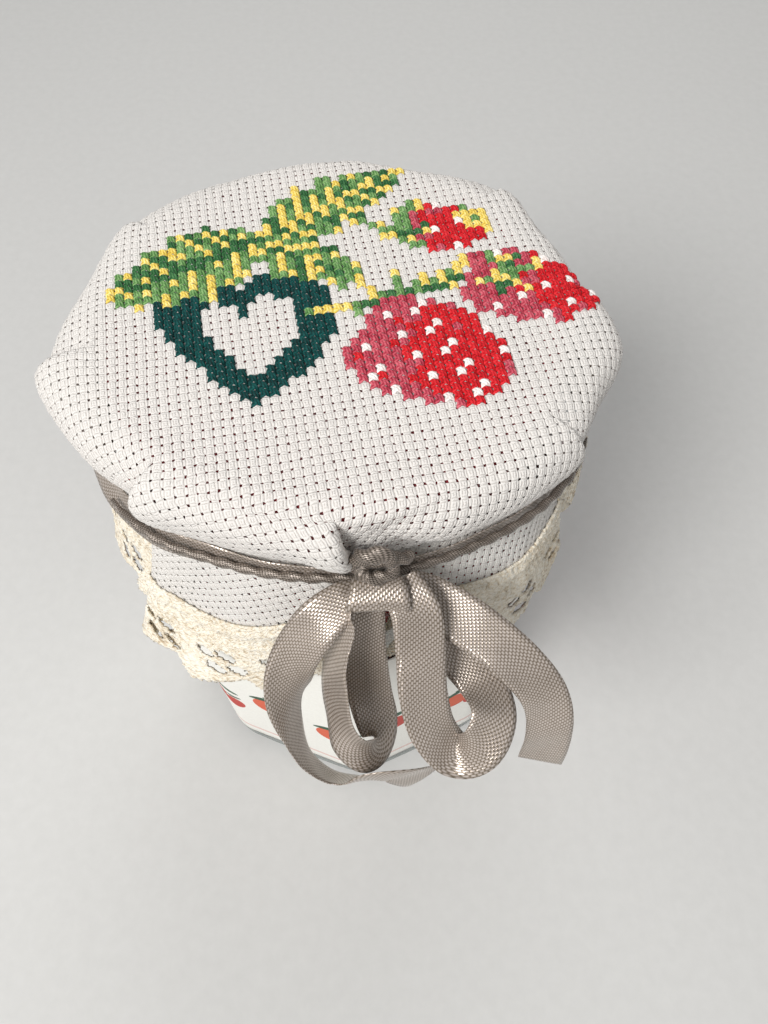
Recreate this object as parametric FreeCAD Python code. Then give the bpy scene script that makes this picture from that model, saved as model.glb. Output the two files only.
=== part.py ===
import FreeCAD, Part
import math
import os

# Jam pot: an eight-sided glass jar of jam with a twist-off lid, a cloth cover
# tied over the lid with a satin ribbon, and a crocheted edging on the cover.
# Millimetres. Origin at the centre of the jar's base, +Z up, front towards -Y.

V = FreeCAD.Vector
os.makedirs("parts", exist_ok=True)

# ---------------------------------------------------------------- jar
FLATS = 79.0            # glass, across two opposite flats
CORNER_R = 9.0          # rounding of the upright corners
FACET_AZ = 249.3        # direction that one flat faces, degrees
BODY_TOP = 84.0         # where the shoulder starts to turn in
BODY_MAX_R = 43.6       # circle that trims the corners of the eight sides
HEEL_R = 37.0           # the base stands on a disc of this radius
HEEL_H = 4.6            # height of the rounded heel
NECK_R = 33.4
NECK_Z = 101.0          # top of the shoulder
RIM_Z = 121.4
WALL = 2.6
BASE_T = 4.6
BORE_R = 30.2
THREAD_R = 34.4
THREAD_Z = 115.0

# ---------------------------------------------------------------- jam
JAM_Z = 103.0           # filled to the foot of the neck

# ---------------------------------------------------------------- lid
LID_R = 35.6
LID_Z0 = 112.0
LID_Z1 = 122.0
LID_T = 0.6
LID_EDGE = 2.4

# ---------------------------------------------------------------- label
LABEL_T = 0.2
LABEL_Z0 = 6.0
LABEL_Z1 = 80.0
LABEL_AZ0 = 162.0
LABEL_AZ1 = 336.0

# ---------------------------------------------------------------- cover
CLOTH_T = 0.8
TOP_Z = LID_Z1 + CLOTH_T
SHOULDER_Z = 117.5      # height at which the cloth stands out most over the lid
TIE_Z = 107.5           # middle of the tie
HEM_Z = 92.0            # mean height of the cloth's hem
HEM_TILT = 4.5          # the hem hangs lower at HEM_LOW_AZ, higher opposite
HEM_LOW_AZ = 222.0
LACE_W = 15.0           # edging below the hem
LACE_T = 0.8
PLEATS = 11             # soft pleats that the tie gathers in the skirt
PLEAT_D = 0.9

# outline as pairs of direction (degrees) and radius
TOP_R = [(8, 37.6), (48, 38.4), (88, 35.8), (118, 36.0), (148, 38.0), (170, 38.4),
         (191, 40.4), (212, 38.4), (235, 36.8), (272, 35.8), (310, 37.0), (334, 38.8), (355, 39.8)]
OUT_R = [(8, 41.6), (48, 41.6), (88, 37.8), (118, 38.6), (148, 41.2), (170, 42.2),
         (191, 44.8), (212, 42.4), (235, 39.8), (272, 37.6), (310, 40.2), (334, 42.6), (355, 44.2)]
TIE_R = [(8, 39.4), (48, 38.0), (88, 36.8), (118, 37.0), (148, 38.0), (170, 38.8),
         (191, 39.6), (212, 39.9), (235, 38.0), (272, 36.2), (310, 37.8), (334, 39.8), (355, 40.0)]
HEM_R = [(8, 45.2), (48, 44.6), (88, 43.6), (118, 44.6), (148, 44.4), (170, 45.2),
         (191, 44.6), (212, 44.4), (235, 43.6), (272, 43.8), (310, 43.4), (334, 45.2), (355, 45.6)]
EDGE_R = [(8, 48.2), (48, 47.6), (88, 46.6), (118, 48.2), (148, 47.2), (170, 48.4),
          (191, 48.2), (212, 48.4), (235, 47.2), (272, 46.2), (310, 46.2), (334, 48.2), (355, 48.8)]

# ---------------------------------------------------------------- ribbon
RIBBON_W = 7.0
RIBBON_T = 0.8          # two layers of satin lying together
BAND_W = 5.0
KNOT_AZ = 281.0
KNOT_Z = 109.0
KNOT_R = 39.8
KNOT_W = 7.8
KNOT_H = 6.0
KNOT_D = 6.0

N_AZ = 48


def rad(a):
    return a * math.pi / 180.0


def round_table(table, az):
    """Periodic Catmull-Rom value of a direction/radius table."""
    n = len(table)
    az = az % 360.0
    ks = sorted(table)
    i = 0
    for j in range(n):
        if ks[j][0] <= az:
            i = j
    if az < ks[0][0]:
        i = n - 1

    def knot(j):
        turns, k = divmod(j, n)
        return ks[k][0] + 360.0 * turns, ks[k][1]
    a = az if az >= ks[0][0] else az + 360.0
    p0, p1, p2, p3 = knot(i - 1), knot(i), knot(i + 1), knot(i + 2)
    if az < ks[0][0]:
        pass
    t = (a - p1[0]) / (p2[0] - p1[0])
    m1 = (p2[1] - p0[1]) / (p2[0] - p0[0]) * (p2[0] - p1[0])
    m2 = (p3[1] - p1[1]) / (p3[0] - p1[0]) * (p2[0] - p1[0])
    return ((2 * t ** 3 - 3 * t ** 2 + 1) * p1[1] + (t ** 3 - 2 * t ** 2 + t) * m1
            + (-2 * t ** 3 + 3 * t ** 2) * p2[1] + (t ** 3 - t ** 2) * m2)


def octagon_r(az, flats):
    """Radius of an eight-sided outline at a direction, corners trimmed."""
    d = (az - FACET_AZ) % 45.0
    d = d - 45.0 if d > 22.5 else d
    return min(flats / 2.0 / math.cos(rad(d)), flats / 2.0 + 3.0)


def octagon_prism(flats, corner_r, z0, z1):
    r = flats / 2.0 / math.cos(rad(22.5))
    pts = [V(r * math.cos(rad(FACET_AZ + 22.5 + 45 * i)), r * math.sin(rad(FACET_AZ + 22.5 + 45 * i)), z0)
           for i in range(8)]
    solid = Part.Face(Part.makePolygon(pts + [pts[0]])).extrude(V(0, 0, z1 - z0))
    upright = [e for e in solid.Edges
               if abs(e.Vertexes[0].Point.x - e.Vertexes[-1].Point.x) < 1e-6
               and abs(e.Vertexes[0].Point.y - e.Vertexes[-1].Point.y) < 1e-6]
    return solid.makeFillet(corner_r, upright)


def arc3(a, b, c):
    return Part.Arc(V(a[0], 0, a[1]), V(b[0], 0, b[1]), V(c[0], 0, c[1])).toShape()


def seg(a, b):
    return Part.makeLine(V(a[0], 0, a[1]), V(b[0], 0, b[1]))


def turned(edges):
    return Part.Face(Part.Wire(edges)).revolve(V(0, 0, 0), V(0, 0, 1), 360.0)


def shoulder_profile(body_r, neck_r, z_body, z_neck):
    """Points of the quarter-round shoulder: start, middle and end."""
    mid = (neck_r + (body_r - neck_r) * 0.62, z_body + (z_neck - z_body) * 0.60)
    return (body_r, z_body), mid, (neck_r, z_neck)


# ---------------------------------------------------------------- jar solid
s0, s1, s2 = shoulder_profile(BODY_MAX_R, NECK_R, BODY_TOP, NECK_Z)
outer_turned = turned([
    seg((0, 0), (HEEL_R, 0)),
    arc3((HEEL_R, 0), (BODY_MAX_R - 1.9, HEEL_H * 0.32), (BODY_MAX_R, HEEL_H)),
    seg((BODY_MAX_R, HEEL_H), s0),
    arc3(s0, s1, s2),
    seg(s2, (NECK_R, RIM_Z)),
    seg((NECK_R, RIM_Z), (0, RIM_Z)),
    seg((0, RIM_Z), (0, 0)),
])
glass_outer = octagon_prism(FLATS, CORNER_R, 0, RIM_Z).common(outer_turned)
bead = turned([
    seg((NECK_R - 0.6, THREAD_Z - 1.3), (NECK_R - 0.6, THREAD_Z + 1.3)),
    arc3((NECK_R - 0.6, THREAD_Z + 1.3), (THREAD_R, THREAD_Z), (NECK_R - 0.6, THREAD_Z - 1.3)),
])
collar = turned([
    seg((NECK_R - 0.6, NECK_Z + 1.6), (NECK_R - 0.6, NECK_Z + 4.4)),
    arc3((NECK_R - 0.6, NECK_Z + 4.4), (NECK_R + 0.9, NECK_Z + 3.0), (NECK_R - 0.6, NECK_Z + 1.6)),
])
glass_outer = glass_outer.fuse([bead, collar]).removeSplitter()

IN_R = BODY_MAX_R - WALL
t0, t1, t2 = shoulder_profile(IN_R, BORE_R, BODY_TOP - 0.6, NECK_Z - 0.4)
inner_turned = turned([
    seg((0, BASE_T), (HEEL_R - 3.2, BASE_T)),
    arc3((HEEL_R - 3.2, BASE_T), (IN_R - 1.6, BASE_T + 1.6), (IN_R, BASE_T + 5.0)),
    seg((IN_R, BASE_T + 5.0), t0),
    arc3(t0, t1, t2),
    seg(t2, (BORE_R, RIM_Z + 1)),
    seg((BORE_R, RIM_Z + 1), (0, RIM_Z + 1)),
    seg((0, RIM_Z + 1), (0, BASE_T)),
])
cavity = octagon_prism(FLATS - 2 * WALL, CORNER_R - WALL, BASE_T, RIM_Z + 1).common(inner_turned)
jar = glass_outer.cut(cavity)

# ---------------------------------------------------------------- jam solid
jam = cavity.common(Part.makeBox(120, 120, JAM_Z, V(-60, -60, 0)))

# ---------------------------------------------------------------- lid solid
e = LID_EDGE
lid = turned([
    seg((0, LID_Z1 - 0.5), (LID_R - 5.2, LID_Z1 - 0.5)),
    seg((LID_R - 5.2, LID_Z1 - 0.5), (LID_R - 4.4, LID_Z1)),
    seg((LID_R - 4.4, LID_Z1), (LID_R - e, LID_Z1)),
    arc3((LID_R - e, LID_Z1), (LID_R - e * 0.293, LID_Z1 - e * 0.293), (LID_R, LID_Z1 - e)),
    seg((LID_R, LID_Z1 - e), (LID_R, LID_Z0 + 0.5)),
    arc3((LID_R, LID_Z0 + 0.5), (LID_R - LID_T / 2, LID_Z0), (LID_R - LID_T, LID_Z0 + 0.5)),
    seg((LID_R - LID_T, LID_Z0 + 0.5), (LID_R - LID_T, LID_Z1 - e)),
    arc3((LID_R - LID_T, LID_Z1 - e), (LID_R - LID_T - (e - LID_T) * 0.293, LID_Z1 - LID_T - (e - LID_T) * 0.293),
         (LID_R - e, LID_Z1 - LID_T)),
    seg((LID_R - e, LID_Z1 - LID_T), (BORE_R - 0.4, LID_Z1 - LID_T)),
    seg((BORE_R - 0.4, LID_Z1 - LID_T), (BORE_R - 1.2, LID_Z1 - 0.5 - LID_T)),
    seg((BORE_R - 1.2, LID_Z1 - 0.5 - LID_T), (0, LID_Z1 - 0.5 - LID_T)),
    seg((0, LID_Z1 - 0.5 - LID_T), (0, LID_Z1 - 0.5)),
])

# ---------------------------------------------------------------- label solid
def label_ring(extra):
    return octagon_prism(FLATS + 2 * extra, CORNER_R + extra, LABEL_Z0, LABEL_Z1)


wedge_pts = [V(0, 0, LABEL_Z0)]
steps = 6
for i in range(steps + 1):
    a = LABEL_AZ0 + (LABEL_AZ1 - LABEL_AZ0) * i / steps
    wedge_pts.append(V(60 * math.cos(rad(a)), 60 * math.sin(rad(a)), LABEL_Z0))
wedge = Part.Face(Part.makePolygon(wedge_pts + [wedge_pts[0]])).extrude(V(0, 0, LABEL_Z1 - LABEL_Z0))
label = label_ring(LABEL_T).common(wedge).cut(label_ring(0.0))

# ---------------------------------------------------------------- cover solid
def pleat(az, amount):
    return amount * math.cos(rad(PLEATS * (az - KNOT_AZ)))


def ring(table, z, tilt=0.0, grow=0.0, pleats=0.0, clear=None):
    """Points of one closed outline round the pot, in a plane that may be tilted."""
    pts = []
    for i in range(N_AZ):
        az = 360.0 * i / N_AZ
        r = round_table(table, az) + pleat(az, pleats)
        if clear is not None:
            r = max(r, octagon_r(az, FLATS) + clear)
        r += grow
        zz = z - tilt * math.cos(rad(az - HEM_LOW_AZ))
        pts.append(V(r * math.cos(rad(az)), r * math.sin(rad(az)), zz))
    return pts


def tri(a, b, c):
    return Part.Face(Part.makePolygon([a, b, c, a]))


def between(lower, upper):
    """Triangles of the band between two outlines."""
    faces = []
    n = len(lower)
    for i in range(n):
        j = (i + 1) % n
        faces.append(tri(lower[i], lower[j], upper[j]))
        faces.append(tri(lower[i], upper[j], upper[i]))
    return faces


def capped(outline, z):
    centre = V(0, 0, z)
    n = len(outline)
    return [tri(outline[i], outline[(i + 1) % n], centre) for i in range(n)]


def closed(faces):
    solid = Part.makeSolid(Part.makeShell(faces))
    if solid.Volume < 0:
        solid.reverse()
    return solid


def tube(outer, inner):
    """Solid between two stacks of outlines, open through the middle."""
    faces = []
    for stack in (outer, inner):
        for lo, hi in zip(stack, stack[1:]):
            faces += between(lo, hi)
    faces += between(inner[0], outer[0])
    faces += between(inner[-1], outer[-1])
    return closed(faces)


def blend_table(a, b, t):
    return [(az, r * (1 - t) + round_table(b, az) * t) for az, r in a]


def cover_rows(grow, top_z, edge_drop):
    """Outlines from the hem up to the flat top; grow moves them in or out."""
    return [
        ring(HEM_R, HEM_Z, HEM_TILT, grow, PLEAT_D, 1.7),
        ring(blend_table(TIE_R, HEM_R, 0.86), HEM_Z + 4.0, HEM_TILT * 0.9, grow, PLEAT_D),
        ring(blend_table(TIE_R, HEM_R, 0.62), TIE_Z - 9.5, HEM_TILT * 0.6, grow, PLEAT_D * 0.9),
        ring(blend_table(TIE_R, HEM_R, 0.28), TIE_Z - 5.4, HEM_TILT * 0.2, grow, PLEAT_D * 0.6),
        ring(blend_table(TIE_R, HEM_R, 0.06), TIE_Z - 3.2, 0.0, grow, PLEAT_D * 0.3),
        ring(TIE_R, TIE_Z, 0.0, grow),
        ring(blend_table(TIE_R, OUT_R, 0.24), TIE_Z + 2.8, 0.0, grow),
        ring(blend_table(TIE_R, OUT_R, 0.70), TIE_Z + 5.6, 0.0, grow),
        ring(OUT_R, SHOULDER_Z - 1.0, 0.0, grow),
        ring(blend_table(OUT_R, TOP_R, 0.10), top_z - 2.8, 0.0, grow),
        ring(blend_table(OUT_R, TOP_R, 0.40), top_z - 1.1, 0.0, grow),
        ring(TOP_R, top_z - edge_drop, 0.0, grow),
        ring(TOP_R, top_z, 0.0, grow - 1.6),
    ]


rows_out = cover_rows(0.0, TOP_Z, 0.2)
rows_in = cover_rows(-CLOTH_T, TOP_Z - CLOTH_T, 0.2)
cover_faces = between(rows_in[0], rows_out[0])
for rows, z in ((rows_out, TOP_Z), (rows_in, TOP_Z - CLOTH_T)):
    for lo, hi in zip(rows, rows[1:]):
        cover_faces += between(lo, hi)
    cover_faces += capped(rows[-1], z)
cover = closed(cover_faces)

# ---------------------------------------------------------------- lace solid
def lace_rows(grow):
    return [
        ring(EDGE_R, HEM_Z - LACE_W, HEM_TILT, grow, PLEAT_D, 1.7),
        ring(blend_table(HEM_R, EDGE_R, 0.45), HEM_Z - LACE_W * 0.5, HEM_TILT, grow, PLEAT_D, 1.7),
        ring(HEM_R, HEM_Z, HEM_TILT, grow, PLEAT_D, 1.7),
    ]


lace = tube(lace_rows(0.0), lace_rows(-LACE_T))

# ---------------------------------------------------------------- ribbon round the neck
def band_rows(grow):
    return [ring(TIE_R, TIE_Z - BAND_W / 2, 0.0, grow), ring(TIE_R, TIE_Z + BAND_W / 2, 0.0, grow)]


band = tube(band_rows(0.9 + RIBBON_T), band_rows(0.9))

# ---------------------------------------------------------------- knot and bow
def catmull(pts, per_span):
    out = []
    n = len(pts)
    for i in range(n - 1):
        p0 = pts[max(i - 1, 0)]
        p1, p2 = pts[i], pts[i + 1]
        p3 = pts[min(i + 2, n - 1)]
        for s in range(per_span):
            t = s / float(per_span)
            out.append(tuple(
                0.5 * (2 * b + (c - a) * t + (2 * a - 5 * b + 4 * c - d) * t * t + (3 * b - a - 3 * c + d) * t ** 3)
                for a, b, c, d in zip(p0, p1, p2, p3)))
    out.append(tuple(pts[-1]))
    return out


def strip(route, widths, per_span=7, thick=RIBBON_T):
    """Ribbon along a route; widths holds the direction of its width at each point."""
    pts = [V(*p) for p in catmull(route, per_span)]
    dirs = [V(*p) for p in catmull(widths, per_span)]
    corners = []
    for i, p in enumerate(pts):
        tangent = pts[min(i + 1, len(pts) - 1)] - pts[max(i - 1, 0)]
        tangent.normalize()
        w = dirs[i] - tangent * dirs[i].dot(tangent)
        w.normalize()
        nrm = tangent.cross(w)
        a, b = w * (RIBBON_W / 2), nrm * (thick / 2)
        corners.append([p - a - b, p + a - b, p + a + b, p - a + b])
    faces = []
    for lo, hi in zip(corners, corners[1:]):
        faces += between(lo, hi)
    for end in (corners[0], corners[-1]):
        faces += [tri(end[0], end[1], end[2]), tri(end[0], end[2], end[3])]
    return closed(faces)


kx, ky = KNOT_R * math.cos(rad(KNOT_AZ)), KNOT_R * math.sin(rad(KNOT_AZ))
knot_ball = Part.makeSphere(1.0)
m = FreeCAD.Matrix()
m.scale(KNOT_W / 2, KNOT_D / 2, KNOT_H / 2)
knot = knot_ball.transformGeometry(m)
knot.rotate(V(0, 0, 0), V(0, 0, 1), KNOT_AZ - 270.0)
knot.translate(V(kx, ky, KNOT_Z))
knot = knot.cut(band).cut(cover)

# the loops and tails leave the knot's front and lower sides
loop_left = strip(
    [(4.5, -41.4, 106.0), (1.6, -44.4, 101.9), (0.3, -48.2, 96.0), (0.8, -52.6, 89.6), (4.4, -55.8, 84.0),
     (7.4, -52.6, 83.4), (6.0, -47.8, 91.0), (5.0, -44.6, 99.0), (6.2, -42.2, 104.6)],
    [(1, -0.1, 0.3), (1, -0.3, 0.3), (1, -0.4, 0.2), (1, -0.6, 0.2), (0.7, -1.0, 0.2),
     (0.4, -1.0, 0.3), (0.7, -0.8, 0.1), (1, -0.4, 0.1), (1, -0.2, 0.2)])
loop_right = strip(
    [(10.6, -41.4, 107.6), (12.6, -44.8, 104.8), (13.4, -50.6, 98.2), (15.2, -55.4, 92.2), (19.0, -58.0, 88.8),
     (23.2, -56.0, 92.0), (23.4, -50.8, 95.0), (19.4, -46.4, 99.0), (13.6, -42.8, 103.6)],
    [(1, -0.2, 0.2), (1, -0.3, 0.1), (1, -0.3, 0.3), (0.9, -0.7, 0.5), (0.3, -1.0, 0.6),
     (0.0, -1.0, 0.4), (0.5, -0.9, 0.3), (0.8, -0.7, 0.2), (1, -0.4, 0.1)])
tail_left = strip(
    [(4.2, -41.0, 106.8), (-2.1, -44.4, 104.4), (-6.4, -47.6, 97.6), (-7.5, -51.0, 90.0), (-6.0, -54.6, 82.4),
     (-2.6, -57.6, 77.2), (3.0, -59.2, 77.4), (8.4, -59.4, 80.2), (14.4, -58.4, 74.4)],
    [(0.6, -0.3, 0.8), (0.8, -0.4, 0.7), (1, -0.4, 0.3), (1, -0.5, 0.0), (0.9, -0.7, -0.2),
     (0.4, -1.0, 0.3), (0.1, -1.0, 0.6), (0.2, -1.0, 0.6), (0.5, -1.0, 0.6)])
tail_right = strip(
    [(10.8, -40.6, 107.4), (17.5, -42.6, 105.4), (25.0, -46.0, 102.4), (30.7, -50.2, 97.0),
     (33.0, -53.4, 89.0), (33.6, -56.0, 77.0)],
    [(0.2, -0.5, 0.8), (0.3, -0.9, 0.5), (0.4, -1, 0.6), (0.6, -0.9, 0.4), (0.8, -0.6, 0.1), (0.9, -0.4, 0)])
bow = {"loop_left": loop_left, "loop_right": loop_right, "tail_left": tail_left, "tail_right": tail_right}
for k in bow:
    bow[k] = bow[k].cut(knot)
    if len(bow[k].Solids) > 1:
        bow[k] = max(bow[k].Solids, key=lambda s: s.Volume)

nodes = {"jar": jar, "jam": jam, "lid": lid, "label": label, "cover": cover, "lace": lace,
         "ribbon_band": band, "knot": knot}
nodes.update(bow)
for name, shape in nodes.items():
    if len(shape.Solids) == 1:
        shape = shape.Solids[0]
    bb = shape.BoundBox
    print("%-12s solids %d valid %s volume %9.1f  x %.1f..%.1f y %.1f..%.1f z %.1f..%.1f" % (
        name, len(shape.Solids), shape.isValid(), shape.Volume, bb.XMin, bb.XMax, bb.YMin, bb.YMax, bb.ZMin, bb.ZMax))
    shape.exportStep("parts/%s.step" % name)
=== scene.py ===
import math

import bpy
import numpy as np
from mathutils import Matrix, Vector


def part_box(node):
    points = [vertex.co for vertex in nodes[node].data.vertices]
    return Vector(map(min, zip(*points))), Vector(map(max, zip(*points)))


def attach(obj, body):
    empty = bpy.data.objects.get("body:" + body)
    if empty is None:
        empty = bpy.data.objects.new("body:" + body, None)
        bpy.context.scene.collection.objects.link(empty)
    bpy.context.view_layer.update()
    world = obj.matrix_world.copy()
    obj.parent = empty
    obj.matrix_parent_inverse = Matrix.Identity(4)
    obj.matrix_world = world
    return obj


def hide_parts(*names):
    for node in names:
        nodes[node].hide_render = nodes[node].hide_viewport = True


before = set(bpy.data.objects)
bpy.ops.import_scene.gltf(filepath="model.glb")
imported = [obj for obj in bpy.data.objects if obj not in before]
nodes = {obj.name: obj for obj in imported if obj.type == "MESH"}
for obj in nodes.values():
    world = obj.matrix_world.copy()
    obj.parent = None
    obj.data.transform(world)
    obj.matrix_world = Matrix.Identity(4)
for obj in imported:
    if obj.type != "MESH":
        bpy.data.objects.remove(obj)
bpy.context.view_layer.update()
MM = 0.001
rng = np.random.default_rng(7)

# heights of the pot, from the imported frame, in mm
lid_lo, lid_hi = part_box("lid")
band_lo, band_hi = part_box("ribbon_band")
LID_TOP = lid_hi.z / MM
LID_BOTTOM = lid_lo.z / MM
LID_R = (lid_hi.x - lid_lo.x) / 2 / MM
TIE_Z = (band_lo.z + band_hi.z) / 2 / MM
CLOTH_Z = LID_TOP + 0.55          # middle of the cloth's thickness over the lid

# ------------------------------------------------------------------ shape of the drape
AXES = [8, 30, 48, 68, 88, 118, 148, 170, 191, 212, 229, 243, 257, 273, 300, 328, 342, 355]
TOP_R = [36.8, 35.6, 37.6, 34.4, 34.8, 34.2, 37.4, 36.4, 38.8, 36.6, 35.8, 34.8, 34.4, 34.0, 34.8, 37.4, 37.0, 38.4]
OUT_R = [41.6, 40.0, 42.4, 38.6, 38.6, 38.6, 42.2, 41.2, 45.0, 42.2, 41.0, 39.2, 38.6, 38.5, 39.2, 42.4, 42.2, 44.4]
TIE_R = [39.4, 38.4, 38.0, 37.2, 36.8, 37.0, 38.0, 38.8, 39.6, 39.6, 38.6, 36.6, 35.6, 35.2, 35.9, 39.2, 39.8, 40.0]
SK1_R = [42.2, 41.6, 41.6, 40.6, 40.2, 40.4, 41.4, 41.8, 42.2, 41.2, 40.2, 39.2, 38.8, 38.4, 38.9, 41.0, 41.4, 42.8]
SK2_R = [45.0, 44.2, 44.8, 43.6, 43.2, 43.4, 44.8, 44.8, 45.0, 43.6, 42.6, 41.8, 41.6, 42.0, 42.6, 43.0, 43.4, 45.2]
SK3_R = [48.6, 47.4, 48.6, 46.4, 45.8, 46.4, 48.8, 48.2, 48.6, 47.8, 48.2, 46.8, 45.0, 44.4, 45.0, 45.4, 45.8, 48.6]
FLATS, FACET_AZ = 79.0, 249.3


def periodic(values, az):
    """Smooth periodic curve through the values at AXES."""
    x = np.array(AXES, float)
    y = np.array(values, float)
    n = len(x)
    az = np.asarray(az, float) % 360.0
    idx = np.searchsorted(x, az, side="right") - 1
    base = np.where(idx < 0, -360.0, 0.0)
    i = idx % n

    def kx(j):
        return x[j % n] + 360.0 * (j // n)
    a = az + np.where(idx < 0, 360.0, 0.0)
    i = np.where(idx < 0, n - 1, idx)
    p0, p1, p2, p3 = kx(i - 1), kx(i), kx(i + 1), kx(i + 2)
    y0, y1, y2, y3 = y[(i - 1) % n], y[i % n], y[(i + 1) % n], y[(i + 2) % n]
    t = (a - p1) / (p2 - p1)
    m1 = (y2 - y0) / (p2 - p0) * (p2 - p1)
    m2 = (y3 - y1) / (p3 - p1) * (p2 - p1)
    return ((2 * t**3 - 3 * t**2 + 1) * y1 + (t**3 - 2 * t**2 + t) * m1
            + (-2 * t**3 + 3 * t**2) * y2 + (t**3 - t**2) * m2)


def jar_r(az):
    d = (np.asarray(az, float) - FACET_AZ) % 45.0
    d = np.where(d > 22.5, d - 45.0, d)
    return np.minimum(FLATS / 2 / np.cos(np.radians(d)), FLATS / 2 + 3.0)


def spline(points, per):
    """Catmull-Rom through an array (k, ...) of points, per samples a span."""
    p = np.asarray(points, float)
    k = len(p)
    out = []
    for i in range(k - 1):
        a, b, c, d = p[max(i - 1, 0)], p[i], p[i + 1], p[min(i + 2, k - 1)]
        for s in range(per):
            t = s / per
            out.append(0.5 * (2 * b + (c - a) * t + (2 * a - 5 * b + 4 * c - d) * t * t + (3 * b - a - 3 * c + d) * t**3))
    out.append(p[-1])
    return np.array(out)


N_AZ, N_S, DS = 720, 480, 0.25
azs = np.arange(N_AZ) * 360.0 / N_AZ
_rt, _ro, _ri = periodic(TOP_R, azs), periodic(OUT_R, azs), periodic(TIE_R, azs)
_s1, _s2, _s3 = periodic(SK1_R, azs), periodic(SK2_R, azs), periodic(SK3_R, azs)
_jr = jar_r(azs)
_s2 = np.maximum(_s2, _jr + 0.6)
_s3 = np.maximum(_s3, _jr + 2.2)
ctrl = np.array([
    [_rt * 0.5, CLOTH_Z + 0 * azs],
    [_rt - 4.0, CLOTH_Z + 0 * azs],
    [_rt - 1.0, CLOTH_Z - 0.05 + 0 * azs],
    [_rt + (_ro - _rt) * 0.55, CLOTH_Z - 1.0 + 0 * azs],
    [_rt + (_ro - _rt) * 0.92, CLOTH_Z - 3.0 + 0 * azs],
    [_ro, CLOTH_Z - 5.6 + 0 * azs],
    [_ro * 0.75 + _ri * 0.25, CLOTH_Z - 9.0 + 0 * azs],
    [_ro * 0.20 + _ri * 0.80, TIE_Z + 2.6 + 0 * azs],
    [_ri, TIE_Z + 0 * azs],
    [_ri * 0.75 + _s1 * 0.25, TIE_Z - 2.8 + 0 * azs],
    [_s1, TIE_Z - 9.6 + 0 * azs],
    [_s2, TIE_Z - 19.0 + 0 * azs],
    [_s3, TIE_Z - 32.0 + 0 * azs],
    [_s3 + (_s3 - _s2) * 1.0, TIE_Z - 45.0 + 0 * azs],
])                                              # (points, 2, azimuths)
fine = spline(ctrl, 24)
fine = np.concatenate([np.stack([np.zeros((1, N_AZ)), np.full((1, N_AZ), CLOTH_Z)], 1), fine])
seg = np.sqrt((np.diff(fine, axis=0) ** 2).sum(1))
arc = np.concatenate([np.zeros((1, N_AZ)), np.cumsum(seg, 0)])
PR = np.zeros((N_AZ, N_S))
PZ = np.zeros((N_AZ, N_S))
S_TIE = np.zeros(N_AZ)
tie_row = 1 + 8 * 24
for a in range(N_AZ):
    PR[a] = np.interp(np.arange(N_S) * DS, arc[:, a], fine[:, 0, a])
    PZ[a] = np.interp(np.arange(N_S) * DS, arc[:, a], fine[:, 1, a])
    S_TIE[a] = arc[tie_row, a]
GR = np.gradient(PR, DS, axis=1)
GZ = np.gradient(PZ, DS, axis=1)
GL = np.sqrt(GR**2 + GZ**2) + 1e-9
NR, NZ = -GZ / GL, GR / GL                      # outward normal in the profile's plane


def look(tab, az, s):
    """Bilinear value of a table at direction (degrees) and arc length (mm)."""
    fa = (np.asarray(az) % 360.0) * N_AZ / 360.0
    fs = np.clip(np.asarray(s) / DS, 0, N_S - 1.001)
    i, j = np.floor(fa).astype(int), np.floor(fs).astype(int)
    u, v = fa - i, fs - j
    i0, i1 = i % N_AZ, (i + 1) % N_AZ
    return ((1 - u) * (1 - v) * tab[i0, j] + u * (1 - v) * tab[i1, j]
            + (1 - u) * v * tab[i0, j + 1] + u * v * tab[i1, j + 1])


# pleats: direction of each fold, and which side lies on top (+1 the side of smaller angle)
PLEATS = [(8, 1, 0.6), (47, 1, 0.55), (90, 1, 0.6), (148, -1, 0.55), (191, -1, 0.7), (229, -1, 0.75), (272, 1, 1.45), (328, 1, 0.45)]
LAYER = 1.05


def ease(x):
    x = np.clip(x, 0, 1)
    return x * x * (3 - 2 * x)


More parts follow.
